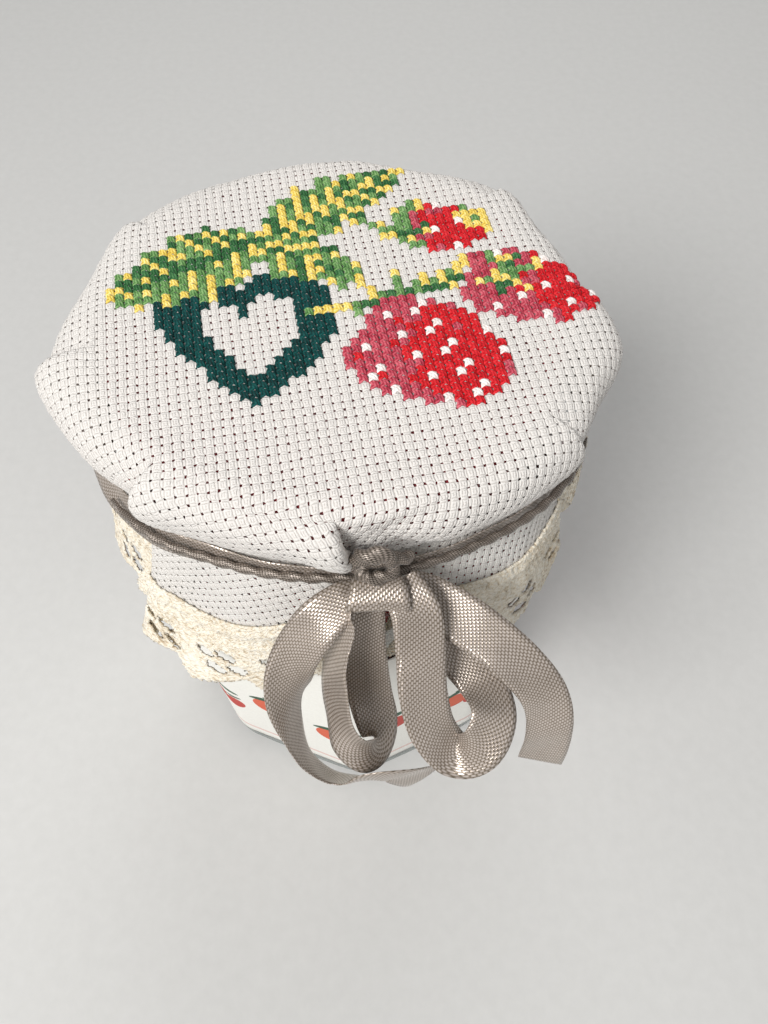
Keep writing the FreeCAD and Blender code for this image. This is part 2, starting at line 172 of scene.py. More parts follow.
def drape(X, Y, lift=0.0):
    """Place of flat cloth points (mm from the pot's axis) once draped and pleated."""
    X, Y = np.asarray(X, float), np.asarray(Y, float)
    s = np.hypot(X, Y)
    th = np.degrees(np.arctan2(Y, X)) % 360.0
    alpha = th.copy()
    h = np.zeros_like(s)
    n = len(PLEATS)
    cs = [p[0] for p in PLEATS]
    for k, (c, side, deep) in enumerate(PLEATS):
        prev = cs[k - 1] - (360 if k == 0 else 0)
        nxt = cs[(k + 1) % n] + (360 if k == n - 1 else 0)
        left, right = (c - prev) / 2.0, (nxt - c) / 2.0
        d = (th - c + 180.0) % 360.0 - 180.0
        inside = (d >= -left) & (d < right)
        if not inside.any():
            continue
        dd, ss = d[inside], s[inside]
        if side < 0:
            dd, lft, rgt = -dd, right, left
        else:
            lft, rgt = left, right
        r = look(PR, np.full_like(ss, c), ss)
        ratio = np.maximum(ss / np.maximum(r, 1e-6), 1.0)
        ratio = np.where(ss < 30.0, 1.0, ratio)
        om = (ratio - 1.0) * (lft + rgt) / 2.0 + 1.5 * deep * ease((ss - 34.5) / 5.0) * ease((66.0 - ss) / 12.0) * 57.3 / np.maximum(r, 5.0)
        om = np.minimum(om, 0.42 * min(lft, rgt) * 2)
        p = ratio * (dd + lft)
        tot = lft + rgt + 2 * om
        p = p / np.maximum(ratio * (lft + rgt), 1e-9) * tot
        p1 = lft + om / 2.0
        mm = np.degrees(1.0 / np.maximum(r, 5.0))           # one mm as an angle
        soft = np.minimum(0.55 * mm, 0.45 * om + 1e-6)
        # rounded zigzag: forward, back, forward
        def soft_abs(x, e):
            return np.sqrt(x * x + e * e) - e
        b1, b2 = p - p1, p - (p1 + om)
        zig = p - (soft_abs(b1, soft) + b1) + (soft_abs(b2, soft) + b2)
        al = zig - lft
        depth = deep * ease((om / mm - 0.10) / 1.7)                 # full layers only once the fold is wide
        tau = np.maximum(0.75 * mm, 1e-6)
        f1 = 0.5 + 0.5 * np.tanh(b1 / tau)
        f2 = 0.5 + 0.5 * np.tanh(b2 / tau)
        hh = -LAYER * depth * (f1 + f2)
        away = ease((al - om / 2.0) / np.maximum(rgt - om / 2.0, 1e-6))
        hh = hh + 2 * LAYER * depth * away * f2
        # a shallow ear stands up along the fold near the shoulder
        rise = np.exp(-((ss - 44.0) / 7.0) ** 2)
        hh = hh + (0.35 + 0.75 * rise) * depth * np.exp(-((al - om / 2.0 + 2.2 * mm) / (4.2 * mm)) ** 2) * (1 - f1)
        if side < 0:
            al = -al
        alpha[inside] = c + al
        h[inside] = hh
    # slow unevenness of the hanging cloth
    w = ease((s - 46.0) / 24.0)
    h = h + w * 0.45 * np.sin(np.radians(alpha * 5.0 + 40.0)) + w * 0.3 * np.sin(np.radians(alpha * 11.0 + s * 3.0))
    ts = ease((s - 20) / 14.0) * (1 - ease((s - 36) / 4.0))
    h = h + 0.10 * ts * np.sin(np.radians(alpha * 8.0 + 20.0))
    h = h + lift
    r = look(PR, alpha, s) + h * look(NR, alpha, s)
    z = look(PZ, alpha, s) + h * look(NZ, alpha, s)
    # the inner layers rest on the lid's rim rather than sink into it
    rim = ease((z - (LID_BOTTOM - 3.0)) / 3.0) * ease((LID_TOP + 0.6 - z) / 1.2)
    need = (LID_R + 0.55 - r) * rim
    r = r + np.maximum(need, 0.0)
    a = np.radians(alpha)
    return np.stack([r * np.cos(a), r * np.sin(a), z], -1)


def surface(X, Y, lift=0.0, eps=0.35):
    """Draped place and outward normal at flat points."""
    p = drape(X, Y)
    dx = drape(np.asarray(X) + eps, Y) - drape(np.asarray(X) - eps, Y)
    dy = drape(X, np.asarray(Y) + eps) - drape(X, np.asarray(Y) - eps)
    nrm = np.cross(dx, dy)
    nrm /= np.linalg.norm(nrm, axis=-1, keepdims=True) + 1e-9
    return p + nrm * lift, nrm


# ------------------------------------------------------------------ mesh helpers
def make_mesh(name, verts_mm, faces, uv=None, mats=(), mat_index=None, smooth=True):
    """Mesh object from arrays; faces is an (n, 3) or (n, 4) array."""
    me = bpy.data.meshes.new(name)
    verts = np.asarray(verts_mm, np.float32) * MM
    faces = np.asarray(faces, np.int32)
    k = faces.shape[1]
    me.vertices.add(len(verts))
    me.vertices.foreach_set("co", verts.ravel())
    me.loops.add(faces.size)
    me.loops.foreach_set("vertex_index", faces.ravel())
    me.polygons.add(len(faces))
    me.polygons.foreach_set("loop_start", np.arange(0, faces.size, k, dtype=np.int32))
    me.polygons.foreach_set("loop_total", np.full(len(faces), k, np.int32))
    if smooth:
        me.polygons.foreach_set("use_smooth", np.ones(len(faces), bool))
    if mat_index is not None:
        me.polygons.foreach_set("material_index", np.asarray(mat_index, np.int32))
    if uv is not None:
        layer = me.uv_layers.new(name="flat_mm")
        layer.data.foreach_set("uv", np.asarray(uv, np.float32)[faces.ravel()].ravel())
    for m in mats:
        me.materials.append(m)
    me.update(calc_edges=True)
    me.validate()
    ob = bpy.data.objects.new(name, me)
    bpy.context.scene.collection.objects.link(ob)
    return ob


def compact(verts, faces, *extra):
    used = np.unique(faces)
    remap = np.full(len(verts), -1, np.int64)
    remap[used] = np.arange(len(used))
    return (verts[used], remap[faces]) + tuple(e[used] for e in extra)


# ------------------------------------------------------------------ materials
def material(name):
    m = bpy.data.materials.new(name)
    m.use_nodes = True
    nt = m.node_tree
    bsdf = next(n for n in nt.nodes if n.type == "BSDF_PRINCIPLED")
    return m, nt, bsdf


class Net:
    """Small helper to write node trees."""

    def __init__(self, nt):
        self.nt = nt

    def node(self, kind, **props):
        n = self.nt.nodes.new(kind)
        for k, v in props.items():
            setattr(n, k, v)
        return n

    def link(self, a, b):
        self.nt.links.new(a, b)

    def math(self, op, a, b=None, c=None):
        n = self.node("ShaderNodeMath", operation=op)
        for i, v in enumerate((a, b, c)):
            if v is None:
                continue
            if isinstance(v, (int, float)):
                n.inputs[i].default_value = v
            else:
                self.link(v, n.inputs[i])
        return n.outputs[0]

    def mix(self, fac, a, b, blend="MIX"):
        n = self.node("ShaderNodeMix", data_type="RGBA", blend_type=blend)
        for i, v in ((0, fac), (6, a), (7, b)):
            if isinstance(v, (int, float)):
                n.inputs[i].default_value = v
            elif isinstance(v, (tuple, list)):
                n.inputs[i].default_value = (*v[:3], 1.0)
            else:
                self.link(v, n.inputs[i])
        return n.outputs[2]

    def noise(self, scale, vec=None, detail=2.0, rough=0.5):
        n = self.node("ShaderNodeTexNoise")
        n.inputs["Scale"].default_value = scale
        n.inputs["Detail"].default_value = detail
        n.inputs["Roughness"].default_value = rough
        if vec is not None:
            self.link(vec, n.inputs["Vector"])
        return n.outputs["Fac"]

    def ramp(self, fac, stops):
        n = self.node("ShaderNodeValToRGB")
        cr = n.color_ramp
        while len(cr.elements) > 1:
            cr.elements.remove(cr.elements[-1])
        cr.elements[0].position = stops[0][0]
        cr.elements[0].color = (*stops[0][1], 1)
        for pos, col in stops[1:]:
            e = cr.elements.new(pos)
            e.color = (*col, 1)
        self.link(fac, n.inputs[0])
        return n.outputs[0]

    def bump(self, height, strength, distance, normal=None):
        n = self.node("ShaderNodeBump")
        n.inputs["Strength"].default_value = strength
        n.inputs["Distance"].default_value = distance
        self.link(height, n.inputs["Height"])
        if normal is not None:
            self.link(normal, n.inputs["Normal"])
        return n.outputs[0]

    def uv(self):
        n = self.node("ShaderNodeUVMap")
        n.uv_map = "flat_mm"
        s = self.node("ShaderNodeSeparateXYZ")
        self.link(n.outputs[0], s.inputs[0])
        return n.outputs[0], s.outputs[0], s.outputs[1]

    def coords(self):
        return self.node("ShaderNodeTexCoord").outputs["Object"]


CELL = 1.411            # one square of the even-weave cloth
YAW = math.radians(10.9)


def cloth_material():
    m, nt, b = material("evenweave_cotton")
    N = Net(nt)
    vec, u, v = N.uv()
    two_pi = 2 * math.pi
    # square blocks: bundles along one way float over bundles along the other
    wob = N.noise(140, N.coords(), 2, 0.5)
    uw = N.math("ADD", u, N.math("MULTIPLY", N.math("SUBTRACT", wob, 0.5), 0.35))
    vw = N.math("ADD", v, N.math("MULTIPLY", N.math("SUBTRACT", wob, 0.5), 0.35))
    cu = N.math("COSINE", N.math("MULTIPLY", uw, two_pi / CELL))
    cv = N.math("COSINE", N.math("MULTIPLY", vw, two_pi / CELL))
    lines_v = N.math("ABSOLUTE", N.math("SINE", N.math("MULTIPLY", vw, 3.5 * math.pi / CELL)))
    lines_u = N.math("ABSOLUTE", N.math("SINE", N.math("MULTIPLY", uw, 3.5 * math.pi / CELL)))
    over = N.math("SMOOTH_MIN", 1.0, N.math("MAXIMUM", 0.0, N.math("ADD", 0.72, N.math("MULTIPLY", N.math("SUBTRACT", cu, cv), 0.6))), 0.2)
    under = N.math("SUBTRACT", 1.0, over)
    bundle_u = N.math("MULTIPLY", lines_u, over)
    bundle_v = N.math("MULTIPLY", lines_v, under)
    strands = N.math("ADD", bundle_u, N.math("MULTIPLY", bundle_v, 1.15))
    pillow = N.math("MULTIPLY", N.math("ADD", cu, cv), -0.16)
    fuzz = N.noise(2600, N.coords(), 4, 0.65)
    slub = N.noise(70, N.coords(), 3, 0.6)
    height = N.math("ADD", N.math("ADD", N.math("MULTIPLY", strands, 0.55), pillow), N.math("MULTIPLY", fuzz, 0.55))
    N.link(N.bump(height, 0.8, 0.00024), b.inputs["Normal"])
    # colour: painted shade darkens the grooves between the thread bundles; fuzz and slub noise add random tone
    groove_shade_and_slub = N.math("ADD", N.math("MULTIPLY", strands, 0.62), N.math("ADD", N.math("MULTIPLY", fuzz, 0.25), N.math("MULTIPLY", slub, 0.22)))
    col = N.ramp(groove_shade_and_slub, [(0.14, (0.58, 0.53, 0.48)), (0.40, (0.78, 0.745, 0.70)), (0.75, (0.88, 0.855, 0.82))])
    N.link(col, b.inputs["Base Color"])
    b.inputs["Roughness"].default_value = 0.88
    b.inputs["Sheen Weight"].default_value = 0.2
    b.inputs["Sheen Roughness"].default_value = 0.5
    glow = N.node("ShaderNodeBsdfTranslucent")
    glow.inputs["Color"].default_value = (0.86, 0.82, 0.77, 1)
    blend = N.node("ShaderNodeMixShader")
    blend.inputs[0].default_value = 0.16
    out = next(n for n in nt.nodes if n.type == "OUTPUT_MATERIAL")
    N.link(b.outputs[0], blend.inputs[1])
    N.link(glow.outputs[0], blend.inputs[2])
    N.link(blend.outputs[0], out.inputs["Surface"])
    return m


def thread_material(name, dark, mid, light):
    m, nt, b = material(name)
    N = Net(nt)
    vec, u, v = N.uv()
    # colour: the ply twist makes the thread darker in its grooves, painted shade; the noise adds random mottle
    ply = N.math("SINE", N.math("ADD", N.math("MULTIPLY", u, 9.0), N.math("MULTIPLY", v, 12.0)))
    n = N.noise(700, N.coords(), 3, 0.6)
    mixv = N.math("ADD", N.math("MULTIPLY", ply, 0.16), n)
    N.link(N.ramp(mixv, [(0.25, dark), (0.5, mid), (0.8, light)]), b.inputs["Base Color"])
    N.link(N.bump(mixv, 0.5, 0.00008), b.inputs["Normal"])
    b.inputs["Roughness"].default_value = 0.6
    b.inputs["Sheen Weight"].default_value = 0.03
    b.inputs["Specular IOR Level"].default_value = 0.16
    return m


def lace_material():
    m, nt, b = material("crochet_cotton")
    N = Net(nt)
    vec, u, v = N.uv()
    warp = N.noise(500, N.coords(), 2, 0.5)
    uu = N.math("ADD", u, N.math("MULTIPLY", warp, 1.2))
    vv = N.math("ADD", v, N.math("MULTIPLY", warp, 1.0))
    a = N.math("SINE", N.math("ADD", N.math("MULTIPLY", uu, 6.5), N.math("MULTIPLY", vv, 8.5)))
    c = N.math("SINE", N.math("SUBTRACT", N.math("MULTIPLY", uu, 8.0), N.math("MULTIPLY", vv, 5.0)))
    ridge = N.math("MAXIMUM", N.math("MULTIPLY", a, c), N.math("MULTIPLY", N.math("ABSOLUTE", a), 0.55))
    knots = N.node("ShaderNodeTexVoronoi")
    knots.inputs["Scale"].default_value = 1.75
    pair = N.node("ShaderNodeCombineXYZ")
    N.link(N.math("MULTIPLY", uu, 1.0), pair.inputs[0])
    N.link(N.math("MULTIPLY", vv, 1.5), pair.inputs[1])
    N.link(pair.outputs[0], knots.inputs["Vector"])
    loops = N.math("SUBTRACT", N.math("MULTIPLY", ridge, 0.45), N.math("MULTIPLY", N.math("SUBTRACT", knots.outputs["Distance"], 0.45), 1.25))
    n = N.noise(1500, N.coords(), 4, 0.7)
    big = N.noise(110, N.coords(), 2, 0.5)
    h = N.math("ADD", N.math("MULTIPLY", loops, 0.6), N.math("MULTIPLY", n, 0.75))
    N.link(N.bump(h, 0.9, 0.00032), b.inputs["Normal"])
    # colour by relief: painted shade makes the low parts of the crochet dark tan; broad noise adds random tone
    relief_shading_and_mottle = N.math("ADD", h, N.math("MULTIPLY", N.math("SUBTRACT", big, 0.5), 0.5))
    N.link(N.ramp(relief_shading_and_mottle, [(0.0, (0.46, 0.34, 0.21)), (0.32, (0.82, 0.73, 0.57)), (0.62, (0.95, 0.90, 0.79))]), b.inputs["Base Color"])
    b.inputs["Roughness"].default_value = 0.85
    b.inputs["Sheen Weight"].default_value = 0.25
    return m


def ribbon_material(name, dark, mid, light):
    m, nt, b = material(name)
    N = Net(nt)
    vec, u, v = N.uv()
    tp = 2 * math.pi
    # satin twill: fine rows along the ribbon, each row of long floats stepped along from the last
    slant = N.math("ADD", v, N.math("MULTIPLY", u, 0.10))
    row = N.math("MULTIPLY", slant, 1 / 0.37)
    rid = N.math("FLOOR", row)
    along = N.math("ADD", N.math("MULTIPLY", u, 1 / 0.74), N.math("MULTIPLY", rid, 0.41))
    fl = N.math("SUBTRACT", 1.0, N.math("POWER", N.math("ABSOLUTE", N.math("SINE", N.math("MULTIPLY", along, math.pi))), 5.0))
    rr = N.math("POWER", N.math("ABSOLUTE", N.math("SINE", N.math("MULTIPLY", row, math.pi))), 0.6)
    weave = N.math("MULTIPLY", fl, rr)
    n = N.noise(1900, N.coords(), 2, 0.5)
    soft = N.noise(55, N.coords(), 2, 0.5)
    h = N.math("ADD", N.math("MULTIPLY", weave, 0.75), N.math("MULTIPLY", n, 0.25))
    # colour by relief: painted highlight on the floats, painted shade in the gaps between them; broad noise shifts the
    # tone at random
    relief_shading_and_mottle = N.math("ADD", h, N.math("MULTIPLY", N.math("SUBTRACT", soft, 0.5), 0.35))
    N.link(N.ramp(relief_shading_and_mottle, [(0.10, dark), (0.48, mid), (0.95, light)]), b.inputs["Base Color"])
    N.link(N.bump(h, 0.6, 0.00008), b.inputs["Normal"])
    b.inputs["Metallic"].default_value = 0.45
    b.inputs["Roughness"].default_value = 0.30
    b.inputs["Specular IOR Level"].default_value = 0.8
    b.inputs["Sheen Weight"].default_value = 0.15
    b.inputs["Sheen Roughness"].default_value = 0.35
    b.inputs["Anisotropic"].default_value = 0.5
    return m


def glass_material():
    m, nt, b = material("clear_glass")
    N = Net(nt)
    n = N.noise(14, N.coords(), 2, 0.5)
    N.link(N.bump(n, 0.12, 0.0006), b.inputs["Normal"])
    N.link(N.ramp(n, [(0.3, (0.90, 0.955, 0.925)), (0.7, (0.93, 0.975, 0.95))]), b.inputs["Base Color"])
    b.inputs["Transmission Weight"].default_value = 1.0
    b.inputs["Roughness"].default_value = 0.02
    b.inputs["IOR"].default_value = 1.50
    # a greenish diffuse layer over all the glass, strongest in the bottom 7 mm: painted reflection that lightens the
    # dark heel
    painted_heel_reflection = N.node("ShaderNodeBsdfDiffuse")
    painted_heel_reflection.inputs["Color"].default_value = (0.74, 0.84, 0.80, 1)
    blend = N.node("ShaderNodeMixShader")
    low = N.node("ShaderNodeSeparateXYZ")
    N.link(N.coords(), low.inputs[0])
    foot = N.math("SUBTRACT", 1.0, N.math("MULTIPLY", low.outputs[2], 1 / 0.007))
    foot = N.math("MINIMUM", N.math("MAXIMUM", foot, 0.0), 1.0)
    N.link(N.math("ADD", N.math("MULTIPLY", foot, 0.22), 0.025), blend.inputs[0])
    out = next(q for q in nt.nodes if q.type == "OUTPUT_MATERIAL")
    N.link(b.outputs[0], blend.inputs[1])
    N.link(painted_heel_reflection.outputs[0], blend.inputs[2])
    N.link(blend.outputs[0], out.inputs["Surface"])
    return m


def jam_material():
    m, nt, b = material("strawberry_jam")
    N = Net(nt)
    n = N.noise(120, N.coords(), 4, 0.6)
    f = N.node("ShaderNodeTexVoronoi")
    f.inputs["Scale"].default_value = 210
    N.link(N.coords(), f.inputs["Vector"])
    seeds = N.math("LESS_THAN", f.outputs["Distance"], 0.16)
    col = N.ramp(n, [(0.3, (0.15, 0.003, 0.004)), (0.5, (0.36, 0.010, 0.009)), (0.7, (0.60, 0.035, 0.020))])
    N.link(N.mix(N.math("MULTIPLY", seeds, 0.7), col, (0.66, 0.34, 0.12)), b.inputs["Base Color"])
    N.link(N.bump(n, 0.3, 0.0008), b.inputs["Normal"])
    b.inputs["Roughness"].default_value = 0.22
    b.inputs["Subsurface Weight"].default_value = 0.25
    b.inputs["Subsurface Radius"].default_value = (0.004, 0.0008, 0.0006)
    b.inputs["Coat Weight"].default_value = 0.5
    return m


def lid_material():
    m, nt, b = material("red_lacquer")
    N = Net(nt)
    n = N.noise(60, N.coords(), 3, 0.5)
    N.link(N.ramp(n, [(0.3, (0.22, 0.010, 0.018)), (0.7, (0.30, 0.016, 0.026))]), b.inputs["Base Color"])
    N.link(N.bump(N.noise(900, N.coords(), 2, 0.5), 0.08, 0.0002), b.inputs["Normal"])
    b.inputs["Roughness"].default_value = 0.3
    b.inputs["Coat Weight"].default_value = 0.4
    b.inputs["Metallic"].default_value = 0.0
    return m


MAT_CLOTH = cloth_material()
MAT_LACE = lace_material()
# the dark stop is the ribbon's colour in shade and the light stop its mauve highlight, both painted in
MAT_RIBBON = ribbon_material("satin_ribbon", (0.175, 0.138, 0.100), (0.365, 0.308, 0.258), (0.64, 0.57, 0.53))
# the same satin ribbon in much darker colours: painted shade for the rolled cord and the knot
MAT_RIBBON_PAINTED_SHADE = ribbon_material("satin_ribbon_painted_shade", (0.016, 0.012, 0.008), (0.14, 0.112, 0.085), (0.42, 0.36, 0.32))

# ------------------------------------------------------------------ cover cloth
HALF, CORNER = 55.2, 28.0          # half side and corner rounding of the cut cloth
OFF1, OFF2 = -3.0, -6.0            # the cloth's centre from the pot's axis, along its own weave


def to_flat(a, b):
    """Weave coordinates (mm along the two thread directions) to flat X, Y."""
    return a * math.cos(YAW) - b * math.sin(YAW), a * math.sin(YAW) + b * math.cos(YAW)


def inside_cut(a, b, grow=0.0):
    """Signed distance to the cut outline, negative inside."""
    qa = np.abs(a - OFF1) - (HALF - CORNER)
    qb = np.abs(b - OFF2) - (HALF - CORNER)
    return np.hypot(np.maximum(qa, 0), np.maximum(qb, 0)) + np.minimum(np.maximum(qa, qb), 0) - CORNER - grow


HOLE = 0.12
lev = []
kinds = []
n_half = 48
for i in range(-n_half, n_half):
    lev += [i - HOLE, i + HOLE, i + 0.5]
    kinds += [0, 1, 2]
lev = np.array(lev)
kinds = np.array(kinds)
A, B = np.meshgrid(lev * CELL, lev * CELL, indexing="ij")
KA, KB = np.meshgrid(kinds, kinds, indexing="ij")
relief = np.where((KA == 2) & (KB == 2), 0.13, np.where(KA == 2, 0.09, np.where(KB == 2, 0.03, -0.05)))
jit = rng.normal(0, 0.035, A.shape)
X, Y = to_flat(A + rng.normal(0, 0.036, A.shape) * CELL, B + rng.normal(0, 0.036, A.shape) * CELL)
P = drape(X, Y)
TU = np.zeros_like(P)
TV = np.zeros_like(P)
TU[1:-1] = P[2:] - P[:-2]
TV[:, 1:-1] = P[:, 2:] - P[:, :-2]
NN = np.cross(TU, TV)
NN /= np.linalg.norm(NN, axis=-1, keepdims=True) + 1e-9
P = P + NN * (relief + jit)[..., None]
m = len(lev)
idx = np.arange(m * m).reshape(m, m)
quads = np.stack([idx[:-1, :-1], idx[1:, :-1], idx[1:, 1:], idx[:-1, 1:]], -1)
ca = (lev[:-1] + lev[1:]) / 2 * CELL
CA, CB = np.meshgrid(ca, ca, indexing="ij")
keep = inside_cut(CA, CB) < 0
hole = (KA[:-1, :-1] == 0) & (KB[:-1, :-1] == 0)
keep &= ~hole
faces = quads[keep]
verts, faces, uvs = compact(P.reshape(-1, 3), faces, np.stack([A.ravel(), B.ravel()], -1))
cloth = make_mesh("cover_cloth", verts, faces, uvs, [MAT_CLOTH])
print("cloth quads", len(faces))

# ------------------------------------------------------------------ cross stitches
THREADS = {
    "teal": ((0.000, 0.014, 0.014), (0.000, 0.042, 0.040), (0.002, 0.085, 0.078)),
    "red": ((0.32, 0.002, 0.005), (0.56, 0.007, 0.014), (0.72, 0.035, 0.045)),
    "rose": ((0.26, 0.012, 0.028), (0.47, 0.056, 0.090), (0.64, 0.16, 0.19)),
    "green": ((0.040, 0.125, 0.030), (0.125, 0.275, 0.085), (0.28, 0.46, 0.19)),
    "deep_green": ((0.010, 0.060, 0.018), (0.028, 0.125, 0.040), (0.09, 0.24, 0.09)),
    "yellow": ((0.56, 0.38, 0.05), (0.79, 0.60, 0.12), (0.91, 0.79, 0.34)),
    "seed": ((0.66, 0.58, 0.55), (0.84, 0.79, 0.76), (0.93, 0.90, 0.88)),
}
ORDER = list(THREADS)
thread_mats = [thread_material("thread_" + k, *v) for k, v in THREADS.items()]


def hash01(i, j, k=0):
    x = math.sin(i * 127.1 + j * 311.7 + k * 74.7) * 43758.5453
    return x - math.floor(x)


def berry(px, py, cx, cy, length, width, turn):
    """Inside a strawberry outline? Returns (inside, along 0..1 from top to tip, across -1..1)."""
    t = math.radians(turn)
    dx, dy = px - cx, py - cy
    u = (dx * math.cos(t) + dy * math.sin(t)) / length + 0.5
    w = (-dx * math.sin(t) + dy * math.cos(t)) / (width / 2)
    if u < 0 or u > 1:
        return False, u, w
    lim = math.sqrt(max(0.0, 1 - ((u - 0.36) / 0.66) ** 2)) if u > 0.36 else math.sqrt(max(0.0, 1 - ((0.36 - u) / 0.46) ** 2))
    return abs(w) < lim, u, w


def leaf(px, py, x0, y0, x1, y1, width, teeth):
    """Inside a toothed leaf from stem to tip? Returns (inside, along, across)."""
    L = math.hypot(x1 - x0, y1 - y0)
    ux, uy = (x1 - x0) / L, (y1 - y0) / L
    u = ((px - x0) * ux + (py - y0) * uy) / L
    w = -(px - x0) * uy + (py - y0) * ux
    if u < 0 or u > 1:
        return False, u, w
    half = width / 2 * (math.sin(math.pi * u ** 0.8) ** 0.75) * (1 + 0.14 * math.sin(u * teeth * 2 * math.pi))
    return abs(w) < half, u, w / max(half, 0.5)


def stroke(px, py, pts, w):
    for (ax, ay), (bx, by) in zip(pts, pts[1:]):
        vx, vy = bx - ax, by - ay
        t = max(0, min(1, ((px - ax) * vx + (py - ay) * vy) / (vx * vx + vy * vy)))
        if math.hypot(px - ax - vx * t, py - ay - vy * t) < w:
            return True
    return False


def heart(px, py, cx, cy, size):
    x, y = (px - cx) / size, (py - cy) / size
    y = y + 0.12
    x = abs(x)
    return (x * x + (1.18 * y - 0.72 * math.sqrt(x + 1e-6)) ** 2) ** 0.5


def colour_at(px, py, i, j):
    """Thread colour of the square whose centre is (px, py), in squares from the pot's axis."""
    hx = px + 0.19 * (py + 3)
    # sepals that lie over the berries
    for pts, w, hue in (
        ([(18.8, 6.0), (16.0, 4.4)], 0.75, "green"), ([(18.8, 6.0), (17.2, 9.0)], 0.7, "green"), ([(18.8, 6.0), (22.4, 7.4)], 0.6, "yellow"),
        ([(19.0, 5.6), (21.6, 3.2)], 0.6, "yellow"), ([(18.6, 5.4), (18.4, 3.0)], 0.6, "deep_green"), ([(18.9, 6.4), (20.0, 8.8)], 0.6, "deep_green"),
        ([(7.6, 12.8), (4.6, 13.4)], 0.7, "green"), ([(7.6, 12.8), (7.0, 16.0)], 0.7, "green"), ([(7.8, 12.4), (10.6, 13.2)], 0.6, "deep_green"),
        ([(7.8, 12.0), (9.4, 10.4)], 0.6, "yellow"), ([(14.6, 15.8), (16.8, 15.2)], 1.0, "yellow"), ([(15.2, 14.2), (16.6, 13.8)], 0.6, "yellow"),
    ):
        if stroke(px, py, pts, w):
            return hue if hash01(i, j, 13) < 0.72 else ("yellow" if hue != "yellow" else "green")
    # berries
    for n, (cx, cy, ln, wd, turn) in enumerate([(10.6, -5.6, 16.8, 13.6, -26), (21.6, 3.9, 14.6, 10.4, -12), (12.6, 13.4, 9.2, 7.4, 6)]):
        ins, u, w = berry(px, py, cx, cy, ln, wd, turn)
        if ins:
            if n == 0:
                seed = (i * 2 + j * 5) % 13 == 0 or (i * 2 + j * 5) % 13 == 6 and (i + j) % 2 == 0
                shade = u < 0.20 + 0.16 * hash01(i, j, 3) + 0.20 * (w < -0.2) and hash01(i, j) < 0.94 or (w < -0.72 and hash01(i, j, 8) < 0.75)
                edge = u < 0.10
            elif n == 1:
                seed = (i * 2 + j * 5 + 3) % 11 == 0 and u > 0.12
                shade = u < 0.34 + 0.2 * hash01(i, j, 4) or (w < -0.5 and hash01(i, j, 9) < 0.7)
                edge = False
            else:
                seed = (i * 2 + j * 5 + 1) % 11 == 0 and 0.15 < u < 0.8
                shade = u < 0.16 + 0.2 * hash01(i, j, 5)
                edge = False
            if seed and not edge:
                return "seed"
            if shade:
                return "rose"
            return "rose" if hash01(i, j, 6) < 0.07 else "red"
    # sepals and sprigs
    for pts, w in (
        ([(2.4, 0.6), (5.4, 1.9), (9.4, 3.2)], 0.8),
        ([(9.4, 3.2), (13.4, 4.9)], 0.55),
    ):
        if stroke(px, py, pts, w):
            return "deep_green" if hash01(i, j, 2) < 0.45 else "green"
    for pts, w in (
        ([(-2.2, 0.2), (2.0, 0.6)], 0.55), ([(4.6, 2.2), (2.2, 5.0)], 0.6), ([(7.0, 3.0), (6.0, 6.2)], 0.6), ([(9.2, 3.4), (9.6, 5.6)], 0.55),
        ([(9.6, 4.0), (13.8, 6.4)], 0.62), ([(12.8, 4.6), (16.8, 6.2)], 0.6), ([(1.2, 3.4), (-2.4, 6.6), (-3.0, 8.2)], 0.62),
        ([(13.6, 7.6), (15.6, 8.4), (17.6, 7.0)], 0.62), ([(16.2, 1.2), (17.4, 4.4), (20.2, 7.6)], 0.6),
    ):
        if stroke(px, py, pts, w):
            return "yellow" if hash01(i, j, 1) < 0.62 else "green"
    for pts, w in (([(6.8, 13.2), (7.4, 15.4), (9.2, 17.2)], 0.8), ([(5.6, 12.2), (7.6, 11.4)], 0.7)):
        if stroke(px, py, pts, w):
            return "green" if hash01(i, j, 1) < 0.55 else "yellow"
    if stroke(px, py, [(16.6, 14.8), (17.4, 13.4)], 0.9):
        return "yellow"
    # leaves
    for n, (x0, y0, x1, y1, wd, teeth) in enumerate([(-8.6, 11.2, -25.2, 1.4, 10.4, 5), (-8.8, 11.6, 7.6, 23.4, 8.6, 6), (-9.4, 10.4, 3.6, 4.6, 6.4, 4)]):
        ins, u, w = leaf(px, py, x0, y0, x1, y1, wd, teeth)
        if ins:
            if abs(w) < 0.13 and u < 0.9:
                return "deep_green" if n != 1 else "yellow"
            v = (u * (7.5, 8.5, 5.0)[n] - abs(w) * 1.15) % 1.0
            if v < 0.33:
                return "yellow"
            if v < 0.5:
                return "green"
            return "green" if (hash01(i, j, 2) < 0.6) == (w > 0) or n == 0 and w > 0 else "deep_green"
    # open heart
    f = heart(hx, py, -9.0, -4.2, 10.0)
    if 0.50 + 0.10 * (hx + 9.0 > 0) < f < 0.98 and py > -12.4:
        return "teal"
    return None


cells = {}
for i in range(-34, 34):
    for j in range(-34, 34):
        a, b = (i + 0.5) * CELL, (j + 0.5) * CELL
        x, y = to_flat(a, b)
        if math.hypot(x, y) > 46.0:
            continue
        c = colour_at(x / CELL, y / CELL, i, j)
        if c:
            cells[(i, j)] = c


